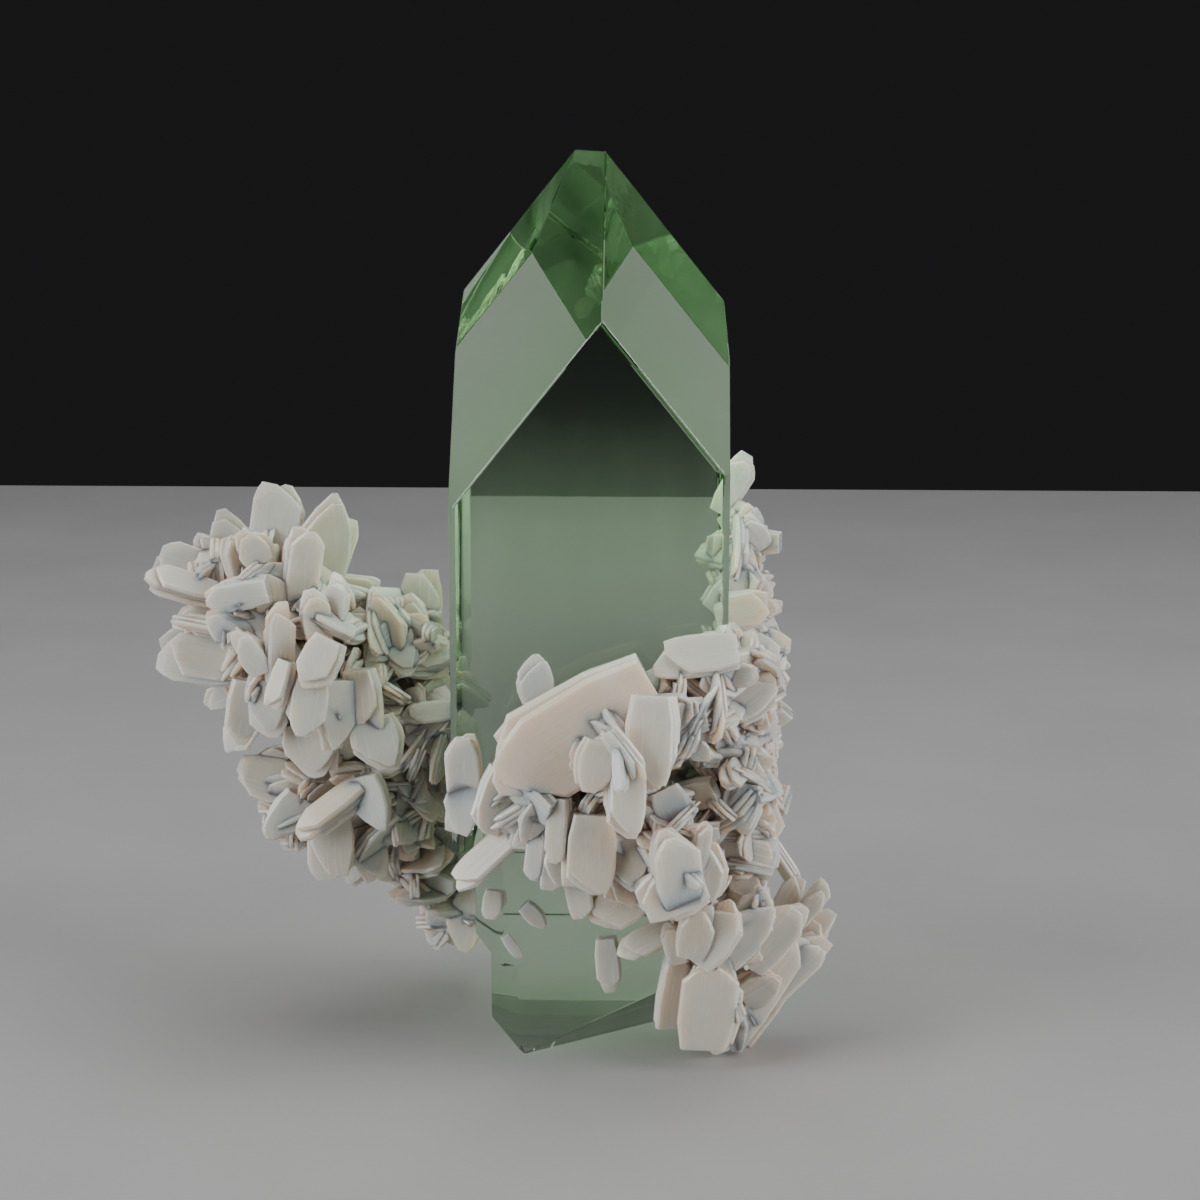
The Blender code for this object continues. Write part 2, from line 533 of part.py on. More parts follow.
def lobe_blades(lobe, rng):
    """Blades that stand out all round a lobe, on a spiral of evenly spread directions."""
    middle = seen_at(*(value * MM for value in lobe.middle))
    radii = Vector(lobe.radii) * MM
    golden = math.pi * (3 - math.sqrt(5))
    solids = []
    for number in range(lobe.blades):
        height = 1 - 2 * (number + 0.5) / lobe.blades
        around = number * golden + rng.uniform(-0.3, 0.3)
        level = math.sqrt(1 - height * height)
        outward = Vector((level * math.cos(around), level * math.sin(around), height))
        sideways = Vector([rng.gauss(0, 1) for _ in range(3)]).cross(outward).normalized()
        lean = rng.uniform(0.1, 0.9)
        axis = (outward + sideways * lean).normalized()
        tip = middle + Vector([r * d for r, d in zip(radii, outward)]) * rng.uniform(0.98, 1.12)
        root = tip - axis * rng.uniform(4.5, 7.0) * MM
        facing = Matrix.Rotation(rng.uniform(0, math.pi), 3, axis) @ axis.orthogonal()
        width = rng.uniform(2.6, 4.4) * MM
        thick = rng.uniform(1.1, 1.8) * MM
        solids.append(blade_solid(root, tip, facing, width, thick))
    return solids


def gathered(solids):
    """One bmesh that holds all the given ones, which it frees."""
    bm = bmesh.new()
    for solid in solids:
        mesh = bpy.data.meshes.new("crystal")
        solid.to_mesh(mesh)
        solid.free()
        bm.from_mesh(mesh)
        bpy.data.meshes.remove(mesh)
    return bm


def lobe_core(lobe):
    """The rounded inside of a lobe, which its blades grow from."""
    bm = bmesh.new()
    bmesh.ops.create_icosphere(bm, subdivisions=1, radius=1.0)
    bmesh.ops.scale(bm, vec=Vector(lobe.radii) * MM * CORE_SHARE, verts=bm.verts)
    place = seen_at(*(value * MM for value in lobe.middle))
    bmesh.ops.translate(bm, vec=place, verts=bm.verts)
    return bm


def cluster(name, blades, lobes, side, tower_cutter, seed):
    """A stilbite cluster: blades and lobes joined, cut clear of the tower, the floor and its twin."""
    rng = random.Random(seed)
    solids = [lobe_core(lobe) for lobe in lobes]
    solids += [shown_blade(blade) for blade in blades]
    for lobe in lobes:
        solids += lobe_blades(lobe, rng)
    obj = object_from(gathered(solids), name, collection(PART_COLLECTION))
    floor = cutter(block((-BIG, -BIG, -BIG), (BIG, BIG, 0.0)), name + "_floor")
    add_boolean(obj, floor, "DIFFERENCE", use_self=True)
    add_boolean(obj, tower_cutter, "DIFFERENCE")
    near = side * CLUSTER_GAP / 2
    twin_low = (min(near, -side * BIG), 0.0, -BIG)
    twin_high = (max(near, -side * BIG), BIG, BIG)
    twin = cutter(block(twin_low, twin_high), name + "_twin")
    add_boolean(obj, twin, "DIFFERENCE")
    baked(obj)
    keep_main_body(obj)
    return obj


def loose_crystal(name, blade, tower_cutter):
    """A stilbite crystal of its own, cut clear of the tower face that it stands on."""
    obj = object_from(shown_blade(blade), name, collection(PART_COLLECTION))
    add_boolean(obj, tower_cutter, "DIFFERENCE")
    baked(obj)
    keep_main_body(obj)
    return obj


def main():
    clear_scene()
    part = collection(PART_COLLECTION)
    green = material("apophyllite_green", (0.50, 0.74, 0.46), 0.05, transmission=1.0, ior=1.536)
    peach = material("stilbite_peach", (0.85, 0.70, 0.60), 0.35)
    lilac = material("stilbite_lilac", (0.80, 0.66, 0.62), 0.38)
    white = material("stilbite_white", (0.80, 0.80, 0.74), 0.30)
    tower = tower_object("apophyllite_crystal", part)
    tower.data.materials.append(green)
    gap_cutter = tower_object("tower_gap", part, grow=GAP)
    left = cluster(
        "stilbite_left_cluster", LEFT_BLADES, LEFT_LOBES, -1, gap_cutter, RANDOM_SEED
    )
    left.data.materials.append(peach)
    right = cluster(
        "stilbite_right_cluster",
        RIGHT_BLADES + SHEAF_BLADES,
        RIGHT_LOBES,
        1,
        gap_cutter,
        RANDOM_SEED + 1,
    )
    right.data.materials.append(lilac)
    for name, blade in LOOSE_BLADES.items():
        loose_crystal(name, blade, gap_cutter).data.materials.append(white)


main()
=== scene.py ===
"""Apophyllite with stilbite: how the specimen looks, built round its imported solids.

The green tower is clear crystal with a milky heart in it. The stilbite clusters are stacks of thin,
translucent plates, which stand where the solids' blades stand.

Crystals are placed as they are read from the front, in millimetres: how far right of the middle of
the view a point shows, how far up from the foot of the tower, and how deep it lies.
"""

import math

import bmesh
import bpy
import numpy as np
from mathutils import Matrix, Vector


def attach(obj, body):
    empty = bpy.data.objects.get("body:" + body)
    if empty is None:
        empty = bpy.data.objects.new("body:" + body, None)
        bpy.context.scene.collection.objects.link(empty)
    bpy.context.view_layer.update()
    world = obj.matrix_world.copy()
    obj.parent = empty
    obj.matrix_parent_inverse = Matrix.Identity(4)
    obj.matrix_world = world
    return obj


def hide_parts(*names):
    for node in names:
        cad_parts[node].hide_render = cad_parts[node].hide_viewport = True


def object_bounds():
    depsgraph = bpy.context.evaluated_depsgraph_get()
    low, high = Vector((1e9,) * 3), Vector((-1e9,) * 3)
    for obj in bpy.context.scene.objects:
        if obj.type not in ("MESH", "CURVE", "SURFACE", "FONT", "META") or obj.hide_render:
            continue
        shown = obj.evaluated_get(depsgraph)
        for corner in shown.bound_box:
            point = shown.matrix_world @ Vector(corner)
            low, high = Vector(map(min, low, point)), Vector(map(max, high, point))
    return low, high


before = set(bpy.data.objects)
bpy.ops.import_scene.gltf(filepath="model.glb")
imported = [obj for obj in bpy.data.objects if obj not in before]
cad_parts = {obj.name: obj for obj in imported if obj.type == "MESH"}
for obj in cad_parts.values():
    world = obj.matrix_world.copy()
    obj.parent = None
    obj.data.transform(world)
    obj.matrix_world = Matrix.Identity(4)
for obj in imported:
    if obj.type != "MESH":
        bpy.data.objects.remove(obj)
solid_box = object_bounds()

MM = 0.001

# How far inside the solids' box every crystal plate stays
BOX_MARGIN = 0.01 * MM

# The front view that the readings are taken in
VIEW_DISTANCE = 228.8
VIEW_PITCH = math.radians(13)
VIEW_TURN = math.radians(1.6)
VIEW_AIM = np.array((0.63, 0.2, 38.4))
VIEW_MIDDLE_UP = 40.2
VIEW_LENS = 78

# What a stilbite crystal looks like
PEARL = 0
CLEAR = 1
CLEAR_SHARE = 0.12

# The thickest cloud in the tower, as how often light is scattered in each metre
MOST_CLOUD = 70.0

# The table's reach to each side, towards the viewer and to its far edge, in metres
TABLE_SIDE, TABLE_NEAR, TABLE_FAR = 1.2, -0.8, 0.26

# Soft lights: name, place and size in metres, and power in watts
LIGHTS_AIM = (0.0, 0.0, 0.04)
LIGHTS = (
    ("left_window", (-0.32, -0.16, 0.16), (0.22, 0.34), 1.5),
    ("right_window", (0.34, -0.12, 0.16), (0.22, 0.34), 1.5),
    ("top_window", (0.0, 0.05, 0.40), (0.34, 0.30), 0.9),
)

# Stilbite crystals: root and tip as right, up and depth, then width, thickness, turn and kind
LEFT_SHOWN = (
    # The long blade that reaches furthest left
    (-34.0, 40.7, -3.0, -40.0, 42.5, -4.5, 2.6, 1.3, 35, 0),
    # Glassy plates along the upper left edge
    (-33.4, 42.0, 1.0, -39.0, 44.1, 0.5, 3.7, 0.9, 8, 0),
    (-31.7, 43.0, 3.0, -33.3, 48.2, 3.0, 3.9, 0.9, 5, 0),
    (-31.5, 42.7, 2.5, -35.8, 45.5, 1.5, 2.5, 0.9, 15, 0),
    # The tall pointed plates at the top
    (-28.9, 44.1, 1.0, -27.8, 50.4, 0.5, 4.8, 1.0, -8, 0),
    (-24.2, 42.4, 0.5, -23.9, 49.6, -0.5, 4.4, 1.1, 12, 0),
    (-24.8, 40.0, 1.6, -22.1, 47.6, 2.0, 2.8, 1.2, 20, 0),
    # Small plates on the right of the upper lobe
    (-25.2, 42.0, 2.2, -19.4, 41.3, 3.5, 1.9, 1.1, 10, 0),
    (-24.8, 41.4, -0.6, -20.1, 40.4, 0.5, 1.8, 1.1, 40, 0),
    # The broad rounded blade beside the tower
    (-16.2, 35.4, 3.5, -15.8, 42.9, 3.0, 4.0, 1.2, 6, 0),
    (-18.8, 35.4, -1.0, -18.9, 40.6, -1.5, 3.9, 1.5, -12, 0),
    # Blocky blades on the face of the upper lobe
    (-26.6, 40.3, -3.2, -25.8, 46.6, -4.8, 3.3, 1.4, 15, 0),
    (-23.6, 37.9, -5.0, -22.7, 42.3, -6.0, 2.5, 1.2, -25, 0),
    (-24.6, 36.3, -6.0, -25.3, 41.2, -7.0, 2.8, 1.5, 25, 0),
    (-21.8, 37.2, -6.0, -26.3, 39.6, -7.0, 1.9, 1.1, 55, 0),
    (-31.4, 41.5, -3.0, -32.8, 45.7, -4.0, 2.1, 1.1, 30, 0),
    (-29.2, 41.1, -5.5, -34.6, 40.1, -5.0, 3.0, 1.4, -20, 0),
    (-29.7, 43.6, -4.0, -31.3, 46.2, -4.5, 3.0, 1.2, 0, 0),
    # The silvery plate at far left and what stands behind it
    (-31.2, 34.6, -3.0, -38.8, 35.7, -2.0, 4.8, 1.1, 14, 0),
    (-34.8, 36.7, 2.0, -38.7, 36.0, 2.0, 3.5, 0.9, -10, 0),
    (-32.4, 37.9, -1.5, -36.9, 38.8, -1.5, 2.8, 1.0, 10, 0),
    (-30.6, 36.7, -5.0, -34.8, 38.6, -5.0, 3.0, 1.3, -15, 0),
    # Upright and leaning blades in the middle
    (-28.5, 33.0, -7.0, -28.3, 40.0, -7.5, 2.5, 1.4, 30, 0),
    (-29.7, 33.9, -7.0, -31.8, 37.6, -7.5, 2.6, 1.3, -25, 0),
    (-27.6, 34.9, -8.0, -28.9, 30.7, -8.5, 1.9, 1.2, 25, 0),
    (-23.6, 36.7, -8.5, -25.7, 32.3, -9.5, 3.2, 1.5, 10, 0),
    (-31.2, 33.2, -5.0, -31.8, 27.5, -5.0, 3.2, 1.1, -8, 0),
    (-29.4, 33.2, -6.0, -29.0, 28.1, -6.5, 3.5, 1.2, 10, 0),
    (-29.2, 32.6, -1.9, -32.8, 26.8, -1.5, 3.0, 1.1, 12, 0),
    (-29.0, 33.8, -0.4, -34.8, 31.1, 1.0, 2.6, 1.1, -10, 0),
    # The bright plate under the middle
    (-25.3, 33.4, -8.0, -26.2, 28.2, -9.0, 3.3, 1.2, 0, 0),
    (-23.2, 33.2, -7.0, -23.3, 27.0, -7.5, 3.2, 1.5, -20, 0),
    (-21.1, 34.1, -6.5, -20.4, 28.8, -7.0, 3.5, 1.4, 15, 0),
    # The three-cornered silvery plate
    (-19.9, 29.8, -6.5, -18.8, 25.3, -8.0, 4.4, 1.1, -5, 0),
    (-25.9, 29.5, -5.0, -24.8, 24.6, -6.0, 5.1, 1.2, 8, 0),
    # Plates of the lower lobe
    (-27.1, 23.7, -2.0, -31.9, 25.4, -1.5, 4.2, 1.1, 10, 0),
    (-26.4, 23.0, -3.5, -29.0, 19.3, -4.0, 3.5, 1.2, -10, 0),
    (-20.9, 23.8, -5.0, -26.6, 19.4, -6.0, 2.6, 1.8, 35, 0),
    (-23.7, 21.3, -4.0, -23.8, 15.5, -4.0, 4.2, 1.3, 5, 0),
    (-20.8, 24.8, -5.0, -19.4, 19.8, -5.5, 3.5, 1.4, 20, 0),
    (-21.1, 20.4, -2.0, -19.7, 15.6, -2.0, 3.3, 1.3, -15, 0),
    (-25.3, 20.2, 1.0, -27.8, 18.3, 1.0, 2.1, 0.8, 0, 0),
    (-21.0, 20.8, 1.6, -21.5, 15.0, 1.0, 1.9, 1.1, 10, 0),
    # Darker blades between the lower lobe and the tower
    (-18.8, 25.7, -1.0, -16.2, 19.4, -1.0, 3.2, 1.5, 10, 0),
    (-15.8, 26.8, 1.0, -13.3, 20.5, 1.0, 3.0, 1.3, -10, 0),
    (-13.0, 19.3, 4.0, -16.1, 16.2, 4.0, 3.5, 1.4, 8, 0),
    (-11.4, 16.6, 4.5, -14.8, 10.6, 4.0, 4.0, 1.5, -5, 0),
    (-10.9, 14.9, 3.0, -12.6, 9.7, 3.0, 3.5, 1.4, 10, 0),
    # Blades that reach the tower's left face
    (-12.8, 30.5, -2.2, -17.5, 30.0, -3.4, 2.1, 1.6, 12, 0),
    (-13.0, 27.4, -1.5, -17.9, 29.1, -2.0, 2.8, 1.2, -15, 0),
    (-13.2, 35.8, 0.0, -17.2, 34.8, -1.0, 3.0, 1.2, 20, 0),
)

RIGHT_SHOWN = (
    # Blades that stand up behind the right edge
    (10.6, 48.8, 3.0, 13.1, 53.0, 3.0, 3.0, 1.0, 5, 0),
    (10.6, 47.6, 3.0, 12.9, 48.8, 3.0, 1.9, 0.9, -10, 0),
    (10.2, 44.8, 2.0, 15.0, 45.2, 2.0, 5.1, 0.9, 8, 0),
    (11.1, 46.2, -0.5, 12.8, 43.6, -0.5, 1.8, 0.9, -10, 0),
    (9.9, 39.9, -3.0, 13.6, 43.7, -3.0, 3.5, 1.3, 10, 0),
    (11.4, 40.5, 0.0, 15.5, 41.1, 0.0, 2.3, 1.2, -12, 0),
    # The striated white blade
    (10.2, 39.2, -5.0, 14.9, 40.0, -5.5, 3.2, 1.3, 12, 0),
    (12.5, 39.2, -1.0, 16.1, 39.6, -1.0, 1.9, 1.2, 0, 0),
    # Pointed blades along the right edge
    (10.2, 36.5, -5.0, 16.7, 35.6, -5.0, 3.9, 1.5, -12, 0),
    (9.5, 32.1, -6.0, 15.9, 32.8, -6.0, 3.3, 1.5, 14, 0),
    (10.2, 29.3, -7.0, 15.0, 30.2, -7.0, 3.9, 1.4, -10, 0),
    (12.7, 27.5, -2.0, 16.1, 27.4, -2.0, 2.1, 1.2, 8, 0),
    (12.5, 22.6, -4.0, 15.6, 22.6, -4.0, 3.5, 1.1, 10, 0),
    (9.3, 18.9, -9.0, 15.9, 21.3, -9.0, 4.6, 1.6, -8, 0),
    (14.4, 19.7, -6.0, 17.3, 15.3, -6.0, 1.6, 1.0, 60, 0),
    # The blade that points left above the large one
    (12.1, 35.6, -14.0, 4.6, 34.8, -14.5, 3.7, 1.6, 12, 0),
    # The large front crystal
    (4.6, 32.8, -14.5, -9.7, 24.6, -16.0, 7.7, 2.8, -6, 0),
    # The silvery blade at the tower's left edge
    (-11.6, 21.6, -12.9, -12.1, 28.4, -13.0, 3.0, 1.2, -5, 0),
    (-11.3, 23.8, -13.0, -12.7, 19.7, -13.5, 3.3, 1.3, 10, 0),
    (-8.5, 25.4, -14.0, -10.2, 19.7, -14.5, 3.0, 1.4, -15, 0),
    (-5.8, 23.0, -14.0, -8.3, 19.6, -14.5, 4.2, 1.4, 8, 0),
    (-6.6, 20.6, -13.6, -12.7, 15.0, -13.5, 2.8, 1.6, 25, 0),
    (-4.9, 20.7, -14.5, -7.8, 18.4, -15.0, 3.3, 1.3, -10, 0),
    (-5.2, 20.3, -15.5, -5.7, 15.5, -16.0, 1.9, 1.2, 15, 0),
    # Stacked plates below the large crystal
    (-3.5, 22.8, -17.0, -3.8, 17.0, -17.5, 2.1, 1.3, 20, 0),
    (-3.5, 18.6, -16.0, -4.0, 14.6, -16.5, 2.8, 1.2, -10, 0),
    (-0.7, 21.3, -17.5, -1.1, 14.3, -18.5, 4.2, 1.4, 0, 0),
    (-2.3, 16.6, -15.0, -1.5, 12.3, -15.0, 2.3, 1.3, 15, 0),
    (0.2, 27.7, -19.0, -0.9, 23.2, -20.0, 3.5, 1.5, 8, 0),
    (2.3, 26.5, -19.5, 1.9, 19.2, -20.5, 3.3, 1.6, -12, 0),
    (0.7, 28.6, -20.0, 4.0, 24.3, -21.0, 1.8, 1.2, 50, 0),
    (1.6, 27.2, -20.5, 1.8, 23.2, -21.5, 1.2, 1.1, 30, 0),
    (4.6, 31.8, -18.0, 4.2, 23.6, -19.5, 4.4, 1.7, 10, 0),
    (9.2, 30.4, -16.5, 2.7, 29.1, -17.5, 3.3, 1.5, -15, 0),
    (7.9, 22.6, -16.5, 5.1, 20.1, -17.5, 3.0, 1.3, 10, 0),
    (5.6, 23.5, -16.5, 7.4, 19.8, -17.5, 3.3, 1.3, -5, 0),
    (7.0, 13.6, -19.0, 6.2, 20.1, -20.5, 4.0, 1.8, 12, 0),
    (9.0, 15.6, -18.5, 3.5, 13.3, -19.5, 4.9, 1.8, -10, 0),
    (3.7, 14.2, -15.0, -0.7, 11.7, -15.5, 3.9, 1.5, 8, 0),
    (8.6, 16.8, -18.0, 9.2, 20.7, -19.0, 1.4, 1.2, 10, 0),
    (6.7, 16.9, -19.5, 9.0, 15.1, -20.5, 1.2, 1.1, 45, 0),
    (9.0, 14.2, -17.0, 9.9, 18.9, -18.0, 3.5, 1.5, -10, 0),
    (7.0, 12.2, -12.9, 1.6, 8.9, -13.0, 2.5, 1.4, 15, 0),
    (8.8, 26.1, -11.0, 12.1, 29.0, -12.0, 3.2, 1.5, 15, 0),
    (9.9, 23.0, -11.0, 12.5, 25.3, -12.0, 3.5, 1.5, -10, 0),
)

SHEAF_SHOWN = (
    # The striated left edge of the sheaf
    (5.9, 2.9, -12.3, 7.3, 9.8, -13.2, 2.9, 1.6, 25, 0),
    # The clear plate and the silvery tips at its foot
    (9.3, 1.0, -13.5, 10.0, 8.7, -15.0, 5.5, 1.6, 5, 0),
    (8.8, 6.3, -11.5, 10.7, 0.4, -10.9, 4.0, 1.5, -8, 0),
    (10.2, 6.8, -10.5, 12.1, 0.8, -10.0, 3.0, 1.4, 15, 0),
    # Long blades that fan out to the upper right
    (11.6, 1.1, -10.0, 17.8, 10.5, -10.0, 3.0, 1.6, 20, 0),
    (12.5, 1.3, -8.0, 20.2, 12.8, -8.0, 2.6, 1.4, -10, 0),
    (13.7, 5.0, -9.0, 19.5, 10.7, -9.5, 3.2, 1.5, 12, 0),
    (16.7, 11.2, -8.5, 20.1, 15.2, -9.0, 1.8, 1.2, 10, 0),
    (15.5, 12.2, -7.0, 17.6, 15.8, -7.0, 2.1, 1.2, -10, 0),
    (10.7, 8.7, -14.0, 15.0, 14.4, -15.0, 3.7, 1.7, 10, 0),
    (8.8, 8.4, -15.5, 12.0, 13.4, -16.5, 3.5, 1.7, -15, 0),
    (13.2, 8.1, -11.5, 17.6, 13.4, -12.5, 3.3, 1.6, 10, 0),
    (7.9, 9.0, -16.0, 9.0, 13.4, -17.0, 3.0, 1.5, 5, 0),
    (7.0, 8.5, -14.0, 6.0, 11.9, -14.5, 2.3, 1.3, -10, 0),
)

# Rounded lumps of the clusters: middle as right, up and depth, half sizes, and how many crystals
LEFT_LUMPS = (
    (-29.8, 39.0, 0.5, 7.8, 7.4, 8.2, 70),
    (-28.4, 34.2, -2.6, 4.6, 5.0, 4.8, 30),
    (-24.4, 37.6, -2.4, 4.2, 3.8, 4.4, 24),
    (-23.3, 32.3, -0.5, 7.4, 7.5, 6.4, 60),
    (-20.4, 27.4, 0.4, 5.6, 6.0, 5.6, 36),
    (-26.0, 23.3, 0.5, 4.6, 5.2, 5.4, 40),
    (-18.0, 36.7, 1.0, 5.2, 5.0, 4.6, 30),
    (-18.9, 21.7, 1.5, 5.4, 6.0, 5.6, 36),
    (-15.6, 17.6, 4.0, 4.6, 5.4, 5.0, 26),
    (-12.8, 13.6, 5.5, 3.8, 4.8, 4.2, 18),
    (-15.4, 27.9, 1.0, 5.0, 6.0, 7.5, 34),
    (-15.0, 33.0, 8.5, 5.6, 5.6, 5.6, 40),
    (-14.6, 23.0, 9.0, 5.0, 5.6, 5.0, 36),
)

RIGHT_LUMPS = (
    (12.2, 43.4, 0.5, 2.4, 4.6, 5.6, 30),
    (12.0, 35.2, -3.0, 4.6, 5.6, 5.0, 34),
    (11.2, 28.8, -6.5, 5.2, 6.2, 5.6, 36),
    (11.0, 32.6, -10.6, 5.0, 5.2, 5.4, 34),
    (7.0, 30.0, -13.6, 5.6, 4.4, 5.0, 30),
    (2.0, 27.0, -14.6, 6.0, 4.2, 4.8, 24),
    (5.0, 18.4, -14.8, 5.8, 4.8, 6.2, 40),
    (10.4, 24.4, -11.6, 5.4, 5.2, 5.8, 38),
    (12.0, 19.6, -8.0, 4.0, 6.4, 6.0, 34),
    (-4.4, 22.6, -14.0, 5.8, 3.2, 4.4, 24),
    (10.6, 12.8, -12.0, 5.0, 4.8, 5.4, 24),
    (11.6, 6.8, -10.6, 4.2, 4.4, 5.0, 14),
    (12.6, 33.4, 4.5, 3.6, 6.4, 6.6, 36),
    (12.4, 24.0, 0.5, 3.4, 6.4, 7.0, 36),
)

LOOSE_CRYSTALS = {
    "stilbite_face_plate": (-5.5, 31.1, -12.5, -5.9, 35.4, -12.5, 3.0, 0.9, 0, 1),
    "stilbite_left_foot_blade": (-9.3, 14.7, -11.6, -9.5, 12.1, -11.8, 1.9, 1.0, 10, 0),
    "stilbite_foot_blade": (-6.7, 13.4, -11.7, -4.8, 11.5, -11.8, 1.6, 0.9, 0, 0),
    "stilbite_low_blade": (0.6, 10.5, -11.7, 1.1, 5.7, -11.7, 2.1, 1.0, 0, 0),
    "stilbite_yellow_blade": (-8.4, 10.7, -11.4, -7.0, 8.7, -11.5, 1.0, 0.8, 0, 0),
}


def seen_at(right, up, depth):
    """The places that show right and up by that much from the front, at that depth.

    A ray from the viewer through the reading is followed until it is that deep behind the axis.
    """
    across = np.array((math.cos(VIEW_TURN), math.sin(VIEW_TURN), 0.0))
    ahead = np.array((-math.sin(VIEW_TURN), math.cos(VIEW_TURN), 0.0))
    cos_pitch, sin_pitch = math.cos(VIEW_PITCH), math.sin(VIEW_PITCH)
    up_view = np.asarray(up) - VIEW_MIDDLE_UP
    rise = up_view * (VIEW_DISTANCE + depth * cos_pitch) - VIEW_DISTANCE * depth * sin_pitch
    rise = rise / (VIEW_DISTANCE * cos_pitch + up_view * sin_pitch)
    distance = VIEW_DISTANCE + depth * cos_pitch - rise * sin_pitch
    side = np.asarray(right) * distance / VIEW_DISTANCE
    spots = VIEW_AIM + side[..., None] * across + np.asarray(depth)[..., None] * ahead
    return (spots + rise[..., None] * np.array((0.0, 0.0, 1.0))) * MM


def unit(vectors):
    """Each vector at length one."""
    return vectors / np.linalg.norm(vectors, axis=-1, keepdims=True)


def turned(vectors, axes, angles):
    """Each vector turned about its unit axis: the part along the axis stays, the rest swings round."""
    along = (vectors * axes).sum(-1, keepdims=True) * axes
    cos, sin = np.cos(angles)[..., None], np.sin(angles)[..., None]
    return along + (vectors - along) * cos + np.cross(axes, vectors) * sin


TO_VIEWER = np.array(
    (
        math.sin(VIEW_TURN) * math.cos(VIEW_PITCH),
        -math.cos(VIEW_TURN) * math.cos(VIEW_PITCH),
        math.sin(VIEW_PITCH),
    )
)


class Crystals:
    """Arrays that say where a set of crystals stands: root, tip, facing, width, thick and kind."""

    def __init__(self, root, tip, facing, width, thick, kind):
        self.root = root
        self.tip = tip
        self.facing = facing
        self.width = width
        self.thick = thick
        self.kind = kind

    def plus(self, other):
        """Both sets together."""
        mine, theirs = vars(self), vars(other)
        return Crystals(**{name: np.concatenate((mine[name], theirs[name])) for name in mine})

    def only(self, keep):
        """The crystals that the mask keeps."""
        return Crystals(**{name: values[keep] for name, values in vars(self).items()})


def shown_crystals(rows):
    """The crystals that are read from the front one by one."""
    table = np.array(rows, float)
    root = seen_at(table[:, 0], table[:, 1], table[:, 2])
    tip = seen_at(table[:, 3], table[:, 4], table[:, 5])
    viewer = np.broadcast_to(TO_VIEWER, root.shape)
    facing = turned(viewer, unit(tip - root), np.radians(table[:, 8]))
    return Crystals(root, tip, facing, table[:, 6] * MM, table[:, 7] * MM, table[:, 9].astype(int))


def lump_crystals(lump, rng):
    """Crystals that stand out all round a lump, on a spiral of evenly spread directions.

    Direction number i has height 1 - 2i/n and lies i golden angles round. Each crystal leans a
    little sideways from that direction, and its tip lies near the lump's rounded outline.
    """
    middle = seen_at(lump[0], lump[1], np.float64(lump[2]))
    radii = np.array(lump[3:6]) * MM
    count = lump[6]
    number = np.arange(count)
    height = 1 - 2 * (number + 0.5) / count
    around = number * math.pi * (3 - math.sqrt(5)) + rng.uniform(-0.3, 0.3, count)
    level = np.sqrt(1 - height * height)
    outward = np.stack((level * np.cos(around), level * np.sin(around), height), axis=1)
    sideways = unit(np.cross(rng.normal(size=(count, 3)), outward))
    axis = unit(outward + sideways * rng.uniform(0.15, 1.1, (count, 1)))
    tip = middle + radii * outward * rng.uniform(0.88, 1.03, (count, 1))
    root = tip - axis * rng.uniform(3.6, 6.2, (count, 1)) * MM
    facing = turned(unit(np.cross(axis, sideways + 0.01)), axis, rng.uniform(0, math.pi, count))
    width = rng.uniform(1.9, 3.9, count) * MM
    thick = rng.uniform(0.7, 1.3, count) * MM
    kind = np.where(rng.random(count) < CLEAR_SHARE, CLEAR, PEARL)
    return Crystals(root, tip, facing, width, thick, kind)


def stacked(crystals, rng):
    """Each crystal as a stack of three thin plates, which differ a little in length and width."""
    layers = np.array((-0.33, 0.0, 0.33))
    count = len(crystals.width)
    axis = unit(crystals.tip - crystals.root)
    flat = unit(crystals.facing - (crystals.facing * axis).sum(-1, keepdims=True) * axis)
    broad = np.cross(flat, axis)
    sets = []
    for layer in layers:
        trim = rng.uniform(0.0, 0.16, (count, 1)) * (abs(layer) > 0)
        slide = rng.uniform(-0.08, 0.08, (count, 1)) * crystals.width[:, None] * (abs(layer) > 0)
        fan = rng.uniform(-0.05, 0.05, (count, 1))
        shift = flat * layer * crystals.thick[:, None] + broad * slide
        length = crystals.tip - crystals.root
        tip = crystals.tip + shift * 1.2 - length * trim + broad * fan * crystals.width[:, None]
        sets.append(
            Crystals(
                crystals.root + shift,
                tip,
                crystals.facing + broad * rng.uniform(-0.05, 0.05, (count, 1)),
                crystals.width * rng.uniform(0.86, 1.0, count),
                crystals.thick * 0.42,
                crystals.kind,
            )
        )
    return sets[0].plus(sets[1]).plus(sets[2])


